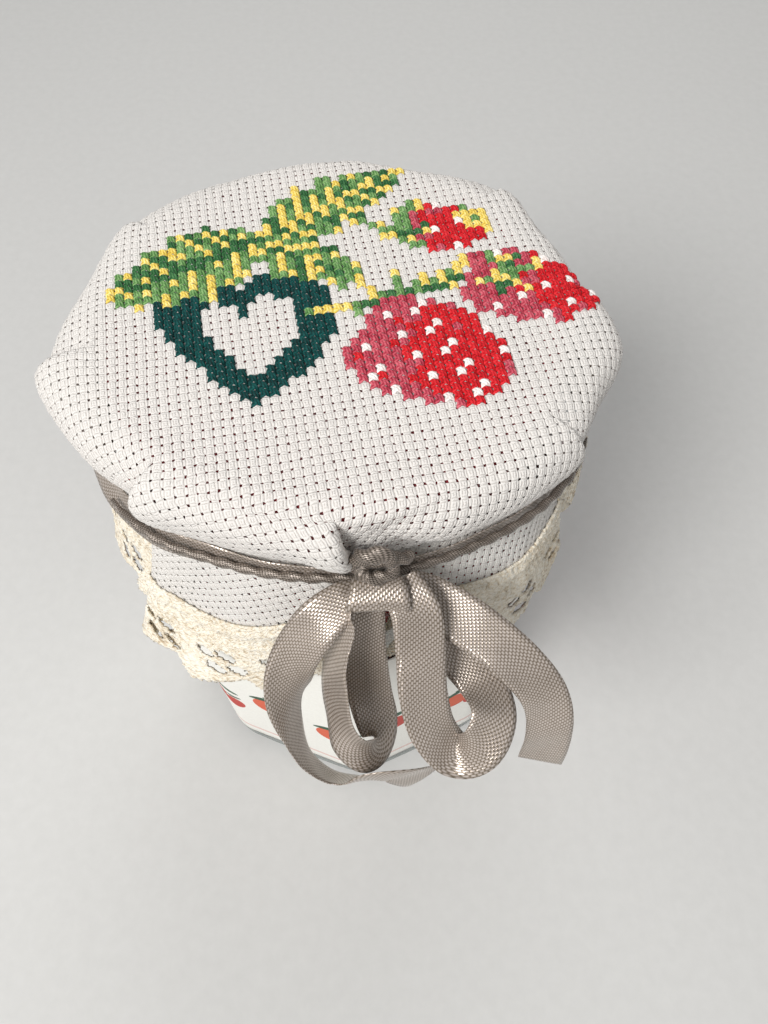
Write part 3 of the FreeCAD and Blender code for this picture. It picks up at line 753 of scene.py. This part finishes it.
def stitches():
    """Two crossing strands a square, each of two threads lying side by side."""
    V, F, U, M = [], [], [], []
    base = 0
    nl, nw = 6, 4
    ts = np.linspace(0, 1, nl + 1)
    for (i, j), c in cells.items():
        k = ORDER.index(c)
        for s, (p, q) in enumerate((((i, j), (i + 1, j + 1)), ((i, j + 1), (i + 1, j)))):
            jx = (hash01(i, j, 11 + s) - 0.5) * 0.10
            for half in (-1, 1):
                ax, ay = p[0] * CELL, p[1] * CELL
                bx, by = q[0] * CELL, q[1] * CELL
                L = math.hypot(bx - ax, by - ay)
                ux, uy = (bx - ax) / L, (by - ay) / L
                side = half * 0.19
                pts, lifts = [], []
                for t in ts:
                    swell = math.sin(math.pi * t) ** 0.55
                    cxx = ax + (bx - ax) * t
                    cyy = ay + (by - ay) * t
                    off = side * swell + jx * swell
                    r = 0.095 + 0.145 * swell
                    for e in range(nw + 1):
                        ang = math.pi * e / nw
                        w = off + r * math.cos(ang)
                        h = r * 0.95 * math.sin(ang) + (0.14 + 0.20 * s) * (math.sin(math.pi * t) ** 0.5)
                        h -= 0.22 * (1 - swell)
                        pts.append((cxx - uy * w, cyy + ux * w, h, t * L, w))
                pts = np.array(pts)
                V.append(pts)
                for a in range(nl):
                    for e in range(nw):
                        v0 = base + a * (nw + 1) + e
                        F.append((v0, v0 + nw + 1, v0 + nw + 2, v0 + 1))
                        M.append(k)
                base += len(pts)
    V = np.concatenate(V)
    fx, fy = to_flat(V[:, 0], V[:, 1])
    pos, nrm = surface(fx, fy)
    pos = pos + nrm * (V[:, 2] + 0.02)[:, None]
    return pos, np.array(F), V[:, 3:5], M


pos, F, U, M = stitches()
stitching = make_mesh("cross_stitching", pos, F, U, thread_mats, M)
print("stitch squares", len(cells), "quads", len(F))

# ------------------------------------------------------------------ lace edging
def outline(n):
    """Points round the cut outline, with outward direction, by equal length."""
    pts = []
    straight = 2 * (HALF - CORNER)
    quarter = math.pi / 2 * CORNER
    total = 4 * (straight + quarter)
    for k in range(n):
        d = total * k / n
        side = int(d // (straight + quarter))
        e = d - side * (straight + quarter)
        if e < straight:
            x, y, ang = HALF, -(HALF - CORNER) + e, 0.0
        else:
            ang = (e - straight) / CORNER
            x, y = HALF - CORNER + CORNER * math.cos(ang), HALF - CORNER + CORNER * math.sin(ang)
        c, s = math.cos(side * math.pi / 2), math.sin(side * math.pi / 2)
        nx, ny = math.cos(ang), math.sin(ang)
        pts.append((x * c - y * s + OFF1, x * s + y * c + OFF2, nx * c - ny * s, nx * s + ny * c, d))
    return np.array(pts), total


LACE_W = 16.6
TURNS = 41                                    # pattern repeats round the edge
STEPS = 24
ol, total = outline(TURNS * STEPS)
PITCH = total / TURNS
rows_w = np.arange(-1.8, LACE_W + 0.9, 0.40)
W, K = np.meshgrid(rows_w, np.arange(len(ol) + 1), indexing="xy")
T = K * total / len(ol)
ok = K % len(ol)
la = ol[ok, 0] + ol[ok, 2] * W
lb = ol[ok, 1] + ol[ok, 3] * W
X, Y = to_flat(la, lb)
tt = (T / PITCH) % 1.0


def lace_open(t, w):
    """True where the edging has a gap: four slanted eyelets a repeat, and the stepped lower edge."""
    gap = np.zeros(t.shape, bool)
    for (ct, cw, a, b) in ((0.22, 8.0, 1.40, 1.00), (0.55, 7.6, 1.70, 1.02), (0.38, 11.1, 1.60, 1.02), (0.70, 10.5, 1.50, 0.92)):
        dt, dw = (t - ct) * PITCH, w - cw
        uu, vv = dt * 0.86 + dw * 0.5, -dt * 0.5 + dw * 0.86
        gap |= (np.abs(uu) / a) ** 2.4 + (np.abs(vv) / b) ** 2 < 1
    # long slope, then a steep step back: the saw-like lower edge
    edge = np.where(t < 0.80, 16.6 - 4.2 * (t / 0.80), 12.4 + 4.2 * ((t - 0.80) / 0.20))
    gap |= w > edge + 0.18 * np.sin(t * 2 * np.pi * 9)
    return gap


edge_w = np.where(tt < 0.80, 16.6 - 4.2 * (tt / 0.80), 12.4 + 4.2 * ((tt - 0.80) / 0.20))
knob = (0.16 * np.sin(T * 4.4 + W * 3.1) * np.sin(W * 4.6 - T * 1.3) + 0.22 * np.exp(-((W - 0.2) / 0.5) ** 2)
        + 0.20 * np.exp(-((W - edge_w + 0.5) / 0.45) ** 2) + 0.16 * np.exp(-((W - edge_w + 1.9) / 0.4) ** 2)
        + 0.14 * np.exp(-((W - 4.2) / 0.45) ** 2))
P = drape(X, Y)
dT = np.roll(P, -1, 0) - np.roll(P, 1, 0)
dW = np.gradient(P, axis=1)
NN = np.cross(dW, dT)
NN /= np.linalg.norm(NN, axis=-1, keepdims=True) + 1e-9
over = np.where(W < 0.6, 0.42, 0.42 * np.clip(1 - (W - 0.6) / 1.5, 0, 1))
press = np.clip((P[..., 2] - (TIE_Z - 3.8)) / 1.0, 0, 1)      # pressed flat where the tie runs over it
P = P + NN * ((knob + over + rng.normal(0, 0.05, W.shape)) * (1 - press) + 0.06 * press)[..., None]
nr, nc = W.shape
idx = np.arange(nr * nc).reshape(nr, nc)
quads = np.stack([idx[:-1, :-1], idx[:-1, 1:], idx[1:, 1:], idx[1:, :-1]], -1)
ct, cw = (tt[:-1, :-1] + 0.5 / STEPS) % 1.0, W[:-1, :-1] + 0.20
faces = quads[~lace_open(ct, cw)]
verts, faces, uvs = compact(P.reshape(-1, 3), faces, np.stack([T.ravel(), W.ravel()], -1))
lace = make_mesh("lace_edging", verts, faces, uvs, [MAT_LACE])
sol = lace.modifiers.new("body", "SOLIDIFY")
sol.thickness = 0.45 * MM
sol.offset = 0.0
print("lace quads", len(faces))

# ------------------------------------------------------------------ ribbon
RIB_W, RIB_T = 7.2, 0.26


def ribbon(name, route, across, widths=None, per=10, nw=8, cup=0.0, closed=False, start=0.0, mat=None):
    """A flat ribbon along a route; across gives the direction of its width at each point."""
    pts = spline(np.array(route, float), per)
    dirs = spline(np.array(across, float), per)
    ww = spline(np.array(widths if widths is not None else [RIB_W] * len(route), float), per)
    tan = np.gradient(pts, axis=0)
    if closed:
        tan[0] = tan[-1] = pts[1] - pts[-2]
    tan /= np.linalg.norm(tan, axis=1, keepdims=True) + 1e-9
    dirs = dirs - tan * (dirs * tan).sum(1, keepdims=True)
    dirs /= np.linalg.norm(dirs, axis=1, keepdims=True) + 1e-9
    nrm = np.cross(tan, dirs)
    length = np.concatenate([[0], np.cumsum(np.linalg.norm(np.diff(pts, axis=0), axis=1))]) + start
    n = len(pts)
    es = np.linspace(-1, 1, nw + 1)
    V, U = [], []
    for i in range(n):
        for layer in (1, -1):
            for e in es:
                x = e * ww[i] / 2
                c = cup * ww[i] * (e * e - 0.4)
                wave = 0.10 * math.sin(length[i] * 0.55 + e * 2.0)
                t = RIB_T / 2 * (1.0 if abs(e) < 0.99 else 0.55)
                V.append(pts[i] + dirs[i] * x + nrm[i] * (c + wave + layer * t))
                U.append((length[i], x))
    k = nw + 1
    F = []
    for i in range(n - 1):
        o, p = i * 2 * k, (i + 1) * 2 * k
        for e in range(nw):
            F.append((o + e, o + e + 1, p + e + 1, p + e))
            F.append((o + k + e + 1, o + k + e, p + k + e, p + k + e + 1))
        F.append((o + k, o, p, p + k))
        F.append((o + nw, o + k + nw, p + k + nw, p + nw))
    if not closed:
        for e in range(nw):
            F.append((e + 1, e, k + e, k + e + 1))
            o = (n - 1) * 2 * k
            F.append((o + e, o + e + 1, o + k + e + 1, o + k + e))
    return make_mesh(name, V, F, U, [mat or MAT_RIBBON]), pts


# tie round the neck
def tie_route(dz, dr, n=72):
    a = np.arange(n + 1) * 360.0 / n + 281.0
    s = look(np.repeat(S_TIE[:, None], N_S, 1), a, np.zeros_like(a))
    r = look(PR, a, s) + dr
    return np.stack([r * np.cos(np.radians(a)), r * np.sin(np.radians(a)), np.full_like(a, TIE_Z + dz)], -1), a


route, a = tie_route(0.3, 1.15)
lean = 0.30 + 0.25 * np.sin(np.radians(a * 2 + 30))
up = np.stack([-lean * np.cos(np.radians(a)), -lean * np.sin(np.radians(a)), np.ones_like(a)], -1)
near = np.abs((a - 281.0 + 180) % 360 - 180)
bw = 1.7 + 3.4 * ease((near - 6) / 60.0)
tie, _ = ribbon("neck_ribbon", route, up, bw, per=2, nw=6, cup=0.08, closed=True)


def twisted(name, pts, radius, pitch, strands=2, around=10, mat=None):
    """Ribbon rolled into a cord: a tube whose section has lobes that wind along it."""
    pts = np.array(pts, float)
    tan = np.gradient(pts, axis=0)
    tan /= np.linalg.norm(tan, axis=1, keepdims=True)
    ref = np.array([0.0, 0.0, 1.0])
    V, F, U = [], [], []
    seg = np.concatenate([[0], np.cumsum(np.linalg.norm(np.diff(pts, axis=0), axis=1))])
    n = len(pts)
    for i in range(n):
        r0 = radius[i] if hasattr(radius, "__len__") else radius
        a1 = np.cross(ref, tan[i])
        a1 /= np.linalg.norm(a1) + 1e-9
        a2 = np.cross(tan[i], a1)
        for k in range(around):
            g = 2 * math.pi * k / around
            lobe = 1 + 0.22 * math.cos(strands * g - seg[i] / pitch * 2 * math.pi)
            V.append(pts[i] + (a1 * math.cos(g) * 0.8 + a2 * math.sin(g)) * r0 * lobe)
            U.append((seg[i] + g * r0 * 1.1, g * r0 * 1.3 - seg[i] * 0.8))
    for i in range(n - 1):
        for k in range(around):
            F.append((i * around + k, i * around + (k + 1) % around, (i + 1) * around + (k + 1) % around, (i + 1) * around + k))
    return make_mesh(name, V, F, U, [mat or MAT_RIBBON_PAINTED_SHADE])


# the second turn, rolled narrow where it runs in to the knot from both sides
r_cord, a_cord = tie_route(-0.2, 2.1, 360)
ang = (a_cord - 281.0) % 360
rank = np.argsort(np.where(ang > 180, ang - 360, ang)[:-1])
cp = r_cord[:-1][rank]
ca_ = np.where(ang > 180, ang - 360, ang)[:-1][rank]
sel = (ca_ > -66) & (ca_ < 62)
cp, ca_ = cp[sel], ca_[sel]
cp[:, 2] += 0.9 * ease(-(ca_ + 8) / 50.0) + 0.5 * ease((ca_ - 8) / 50.0)
fade = np.minimum(ease((ca_ + 67) / 12.0), ease((63 - ca_) / 12.0))
# the cord takes the darker ribbon colours, painted shade
cord = twisted("neck_cord", cp, 0.32 + 0.48 * fade, 3.4)

# the bow, laid out along each strand: places, the direction the ribbon's width points, its width
strands = {
    "bow_loop_right": (
        [(9.7, -38.6, 109.7), (10.8, -40.6, 109.3), (12.3, -43.4, 107.3), (12.9, -47.2, 102.8), (13.3, -51.4, 98.4), (14.9, -55.4, 93.1), (18.6, -58.0, 88.5), (22.2, -57.6, 91.9), (23.9, -53.6, 94.7), (22.4, -48.6, 94.8), (18.7, -44.6, 96.8), (14.5, -41.0, 100.7), (11.4, -38.6, 104.1)],
        [(0.9, 0.35, 0.2), (1, 0.1, 0.05), (1, 0.0, 0.0), (1, 0.05, 0.0), (0.96, 0.25, 0.12), (0.72, 0.62, 0.30), (0.15, 0.84, 0.52), (-0.52, 0.66, 0.50), (-0.86, 0.10, 0.30),
         (-0.90, -0.28, -0.05), (-0.80, -0.48, -0.22), (-0.78, -0.48, -0.25), (-0.8, -0.4, 0.0)],
        [5.2, 6.4, 7.2, 7.2, 7.2, 7.2, 7.0, 7.0, 7.2, 7.2, 7.2, 6.6, 5.0]),
    "bow_loop_left": (
        [(4.5, -40.6, 107.2), (2.3, -41.8, 106.1), (0.9, -44.6, 101.9), (0.3, -48.2, 96.9), (0.6, -52.0, 90.6), (2.3, -55.6, 86.1), (5.5, -56.4, 82.9), (7.0, -53.2, 81.5), (5.4, -48.0, 86.2), (4.4, -43.8, 95.5), (4.4, -40.6, 102.8), (5.3, -38.8, 104.6)],
        [(0.55, -0.1, 0.75), (0.55, -0.15, 0.75), (0.50, -0.25, 0.80), (0.46, -0.30, 0.82), (0.48, -0.20, 0.84), (0.40, 0.20, 0.88), (0.10, 0.62, 0.72), (-0.62, 0.30, 0.70),
         (-0.95, 0.0, 0.25), (-1, 0, 0.1), (-1, 0, 0), (-1, 0, 0)],
        [4.6, 6.4, 7.2, 7.2, 7.2, 7.2, 7.0, 7.2, 7.2, 7.2, 6.8, 5.6]),
    "ribbon_tail_left": (
        [(3.9, -39.4, 107.3), (1.6, -40.8, 107.0), (-2.1, -43.6, 105.2), (-5.8, -46.6, 98.9), (-7.5, -50.0, 91.2), (-6.6, -53.6, 84.2), (-4.6, -56.6, 79.0), (-1.2, -58.6, 75.8), (2.8, -59.4, 76.6), (6.4, -59.6, 79.6), (10.2, -59.2, 79.4), (14.4, -58.0, 73.0)],
        [(0.62, -0.62, -0.2), (0.62, -0.66, -0.32), (0.66, -0.64, -0.36), (0.88, -0.40, -0.22), (0.66, 0.34, -0.66), (0.26, 0.50, -0.82), (0.10, 0.50, -0.86), (0.02, 0.46, -0.89), (-0.02, 0.34, -0.94),
         (0.0, 0.05, -1.0), (0.0, 0.0, -1.0), (0.05, -0.05, -1.0)],
        [4.4, 5.8, 7.0, 7.2, 7.2, 7.2, 7.2, 7.2, 7.2, 7.2, 7.2, 7.2]),
    "ribbon_tail_right": (
        [(10.5, -37.6, 106.5), (13.4, -39.0, 105.7), (17.5, -41.4, 104.7), (22.1, -44.2, 103.3), (26.7, -47.4, 101.2), (30.7, -50.2, 96.9), (32.7, -52.4, 92.0), (33.5, -54.6, 85.2), (33.6, -56.0, 76.2)],
        [(0.50, 0.70, 0.45), (0.50, 0.74, 0.44), (0.56, 0.71, 0.42), (0.62, 0.68, 0.39), (0.72, 0.60, 0.32), (0.94, 0.25, 0.12), (1, 0.05, 0.05), (1, -0.1, 0.0), (1, -0.2, -0.05)],
        [4.6, 6.4, 7.4, 7.4, 7.2, 7.2, 7.2, 7.2, 7.2]),
}
bow = {}
for k, (rt, ac, wd) in strands.items():
    bow[k], _ = ribbon(k, rt, ac, wd, per=12, cup=0.02)
short, _ = ribbon("bow_fold", [(7.1, -38.0, 110.4), (6.9, -39.6, 110.8), (6.9, -41.3, 110.2), (6.8, -42.6, 109.0), (6.8, -42.4, 107.5), (6.7, -40.6, 105.1), (6.9, -38.4, 103.3)],
                  [(1, 0, 0)] * 7, [6.2, 7.6, 8.6, 9.2, 9.2, 8.6, 7.0], per=8, cup=0.02)

# knot: the ribbon wound twice round itself
def knot_mesh():
    """One rolled strand passes over, a second is wound in a tight ring under it."""
    over_pts = spline(np.array([(0.7, -36.2, 107.6), (2.9, -37.6, 113.3), (5.2, -38.6, 117.2), (7.4, -38.8, 117.6), (9.2, -38.2, 115.2), (11.5, -37.0, 114.0)]), 14)
    n1 = len(over_pts)
    ring = []
    cx, cy, cz = (6.9, -38.4, 112.5)
    for i in range(64):
        g = 2 * math.pi * i / 60 + 0.6
        ring.append((cx + 2.35 * math.cos(g), cy + 1.15 * math.sin(g) - 0.5 * math.cos(g * 0.5), cz + 0.75 * math.sin(g) + 0.35 * math.cos(g)))
    # the knot takes the darker ribbon colours, painted shade
    a = twisted("bow_knot", over_pts, [0.75 + 0.55 * math.sin(math.pi * i / (n1 - 1)) ** 0.7 for i in range(n1)], 3.0, 2, 14)
    b = twisted("knot_ring", ring, [1.05 - 0.2 * math.cos(i / 10) for i in range(64)], 2.4, 2, 12)
    return a, b


knot, knot_ring = knot_mesh()


def dress(name, mat):
    o = nodes[name]
    o.data.materials.clear()
    o.data.materials.append(mat)


dress("jar", glass_material())
dress("lid", lid_material())


def label_material():
    m, nt, b = material("printed_label")
    N = Net(nt)
    vec, u, v = N.uv()
    n = N.noise(1800, N.coords(), 4, 0.7)
    big = N.noise(25, N.coords(), 2, 0.5)
    paper = N.ramp(n, [(0.3, (0.80, 0.79, 0.74)), (0.7, (0.87, 0.865, 0.82))])

    def disc(cx, cy, rx, ry, turn=0.0):
        c, s = math.cos(turn), math.sin(turn)
        dx, dy = N.math("SUBTRACT", u, cx), N.math("SUBTRACT", v, cy)
        a = N.math("MULTIPLY", N.math("ADD", N.math("MULTIPLY", dx, c), N.math("MULTIPLY", dy, s)), 1 / rx)
        bb = N.math("MULTIPLY", N.math("SUBTRACT", N.math("MULTIPLY", dy, c), N.math("MULTIPLY", dx, s)), 1 / ry)
        d = N.math("ADD", N.math("MULTIPLY", a, a), N.math("MULTIPLY", bb, bb))
        return N.math("LESS_THAN", N.math("ADD", d, N.math("MULTIPLY", N.math("SUBTRACT", big, 0.5), 0.4)), 1.0)
    col = paper
    red, green, pink = (0.66, 0.10, 0.035), (0.012, 0.075, 0.035), (0.66, 0.30, 0.26)
    deep = N.mix(N.math("GREATER_THAN", big, 0.52), red, (0.50, 0.035, 0.02))
    for k, cx in enumerate((-44, -29, -14, 1, 16, 31)):
        cy = 34 + (2.5 if k % 2 else -1.5)
        col = N.mix(disc(cx, cy, 3.6, 4.4, 0.2), col, deep)
        col = N.mix(disc(cx + 5.4, cy - 3.2, 2.8, 3.4, -0.2), col, deep)
        col = N.mix(disc(cx - 0.5, cy + 5.2, 4.0, 1.0, 0.45), col, green)
        col = N.mix(disc(cx + 3.6, cy + 5.6, 4.2, 1.0, -0.35), col, green)
        col = N.mix(disc(cx + 5.6, cy + 1.2, 2.2, 0.7, 0.1), col, green)
    band = N.math("MULTIPLY", N.math("GREATER_THAN", v, 10.0), N.math("LESS_THAN", v, 11.4))
    col = N.mix(N.math("MULTIPLY", band, 0.55), col, pink)
    N.link(col, b.inputs["Base Color"])
    N.link(N.bump(n, 0.2, 0.00006), b.inputs["Normal"])
    b.inputs["Roughness"].default_value = 0.55
    return m


def octagon_points(flats, corner_r, az0, az1, step=1.0):
    """Outline of the eight-sided jar with rounded corners between two directions."""
    out = []
    a = az0
    while a <= az1 + 1e-6:
        d = (a - FACET_AZ) % 45.0
        d = d - 45.0 if d > 22.5 else d
        h = flats / 2
        cc = (h - corner_r) / math.cos(math.radians(22.5))
        flat_half = (h - corner_r) * math.tan(math.radians(22.5))
        t = math.tan(math.radians(abs(d))) * h
        if t <= flat_half:
            r = h / math.cos(math.radians(d))
        else:
            phi = math.radians(22.5 - abs(d))
            r = cc * math.cos(phi) + math.sqrt(max(corner_r**2 - (cc * math.sin(phi)) ** 2, 0))
        out.append((r * math.cos(math.radians(a)), r * math.sin(math.radians(a))))
        a += step
    return np.array(out)


lab_lo, lab_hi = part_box("label")
lab = octagon_points(FLATS + 0.30, 9.15, 162.0, 336.0)
ln = np.concatenate([[0], np.cumsum(np.linalg.norm(np.diff(lab, axis=0), axis=1))])
mid = np.interp(283.0, np.linspace(162, 336, len(lab)), ln)
zs = np.linspace(lab_lo.z / MM, lab_hi.z / MM, 60)
V = np.array([(x, y, z) for z in zs for x, y in lab])
U = np.array([(l - mid, z) for z in zs for l in ln])
n = len(lab)
F = [(i * n + k, i * n + k + 1, (i + 1) * n + k + 1, (i + 1) * n + k) for i in range(len(zs) - 1) for k in range(n - 1)]
label = make_mesh("paper_label", V, F, U, [label_material()])
sol = label.modifiers.new("paper", "SOLIDIFY")
sol.thickness = 0.14 * MM
sol.offset = 1.0


def jam_mesh():
    """Jam that reaches just into the glass, with an uneven top."""
    lo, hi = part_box("jam")
    rings = []
    zt = hi.z / MM
    zb = lo.z / MM - 0.4
    prof = []
    for z in np.concatenate([[zb, zb + 0.3, zb + 1.2, zb + 3.0, zb + 5.6], np.linspace(zb + 8, 82.5, 18), [86, 89, 92, 95, 98, 100.5, zt - 0.6, zt]]):
        if z < zb + 5.6:
            k = math.sqrt(max(0.0, 1 - ((zb + 5.6 - z) / 5.6) ** 2))
            lim = 33.6 + (41.4 - 33.6) * k
        elif z < 83.4:
            lim = 41.4
        else:
            t = (z - 83.4) / (100.6 - 83.4)
            lim = 30.7 + (41.4 - 30.7) * math.sqrt(max(0.0, 1 - min(t, 1.0) ** 2.1)) if t < 1 else 30.6
        prof.append((z, lim))
    base = octagon_points(FLATS - 2 * 2.6 + 0.8, 6.8, 0.0, 359.0)
    br = np.hypot(base[:, 0], base[:, 1])
    an = np.arctan2(base[:, 1], base[:, 0])
    V = []
    for z, lim in prof:
        r = np.minimum(br, lim)
        V += [(rr * math.cos(t), rr * math.sin(t), z) for rr, t in zip(r, an)]
    n = len(base)
    F = [(i * n + k, i * n + (k + 1) % n, (i + 1) * n + (k + 1) % n, (i + 1) * n + k) for i in range(len(prof) - 1) for k in range(n)]
    # lumpy top
    start = len(V)
    top_r = np.minimum(br, prof[-1][1])
    ringsN = 14
    last = (len(prof) - 1) * n
    for q in range(1, ringsN):
        f = 1 - q / ringsN
        for k in range(n):
            x, y = top_r[k] * f * math.cos(an[k]), top_r[k] * f * math.sin(an[k])
            V.append((x, y, zt + 0.5 * math.sin(x * 0.4 + 1) * math.cos(y * 0.33) * (1 - f)))
        here = start + (q - 1) * n
        for k in range(n):
            F.append((last + k, last + (k + 1) % n, here + (k + 1) % n, here + k))
        last = here
    V.append((0, 0, zt))
    c = len(V) - 1
    V.append((0, 0, zb))
    d = len(V) - 1
    tris = [(last + k, last + (k + 1) % n, c, c) for k in range(n)] + [((k + 1) % n, k, d, d) for k in range(n)]
    me = bpy.data.meshes.new("jam_fill")
    me.from_pydata([tuple(x * MM for x in v) for v in V], [], [tuple(f) for f in F] + [(a, b, cc) for a, b, cc, _ in tris])
    me.materials.append(jam_material())
    me.polygons.foreach_set("use_smooth", np.ones(len(me.polygons), bool))
    me.update()
    ob = bpy.data.objects.new("jam_fill", me)
    bpy.context.scene.collection.objects.link(ob)
    return ob


jam = jam_mesh()

# ------------------------------------------------------------------ ride, replace
for o, s in ((cloth, "cloth"), (stitching, "cloth"), (lace, "lace"), (tie, "ribbon"), (short, "ribbon"), (cord, "ribbon"), (knot, "ribbon"), (knot_ring, "ribbon"),
             (label, "label"), (jam, "jam"), *[(o, "ribbon") for o in bow.values()]):
    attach(o, "root")
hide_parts("cover")
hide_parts("lace")
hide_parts("ribbon_band")
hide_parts("knot")
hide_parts("loop_left")
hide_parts("loop_right")
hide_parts("tail_left")
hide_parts("tail_right")
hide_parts("label")
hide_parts("jam")

# ------------------------------------------------------------------ floor, light, camera
def floor():
    m, nt, b = material("pale_floor")
    N = Net(nt)
    n = N.noise(300, N.coords(), 4, 0.6)
    N.link(N.ramp(n, [(0.3, (0.56, 0.56, 0.55)), (0.7, (0.585, 0.585, 0.575))]), b.inputs["Base Color"])
    b.inputs["Roughness"].default_value = 0.9
    me = bpy.data.meshes.new("floor")
    s = 3.0
    me.from_pydata([(-s, -s, 0), (s, -s, 0), (s, s, 0), (-s, s, 0)], [], [(0, 1, 2, 3)])
    me.materials.append(m)
    ob = bpy.data.objects.new("floor", me)
    bpy.context.scene.collection.objects.link(ob)


floor()


def area_light(name, place, target, size, power, colour=(1, 1, 1)):
    d = bpy.data.lights.new(name, "AREA")
    d.shape = "DISK"
    d.size = size
    d.energy = power
    d.color = colour
    o = bpy.data.objects.new(name, d)
    bpy.context.scene.collection.objects.link(o)
    o.location = place
    v = np.array(target) - np.array(place)
    from mathutils import Vector
    o.rotation_mode = "QUATERNION"
    o.rotation_quaternion = Vector(v).to_track_quat("-Z", "Y")
    return o


area_light("key", (-0.36, -0.46, 0.66), (0, 0, 0.08), 0.36, 6.8, (1.0, 0.985, 0.965))
area_light("back", (0.10, 0.55, 0.70), (0, 0, 0.08), 0.5, 2.2, (1.0, 0.99, 0.975))
area_light("fill", (0.55, -0.55, 0.55), (0, 0, 0.06), 0.8, 0.7, (0.98, 0.99, 1.0))
world = bpy.data.worlds.new("studio")
bpy.context.scene.world = world
world.use_nodes = True
bg = world.node_tree.nodes["Background"]
bg.inputs[0].default_value = (1.0, 1.0, 1.0, 1)
bg.inputs[1].default_value = 0.30

bpy.context.scene.view_settings.view_transform = "Standard"
cam_d = bpy.data.cameras.new("camera")
cam_d.sensor_width = 36.0
cam_d.lens = 790.0 / 1024.0 * 36.0
cam = bpy.data.objects.new("camera", cam_d)
bpy.context.scene.collection.objects.link(cam)
cam.location = (7.62 * MM, -86.07 * MM, 211.1 * MM)
cam.rotation_euler = (math.radians(30.0), 0, 0)
cam_d.clip_start, cam_d.clip_end = 0.01, 20.0
bpy.context.scene.camera = cam
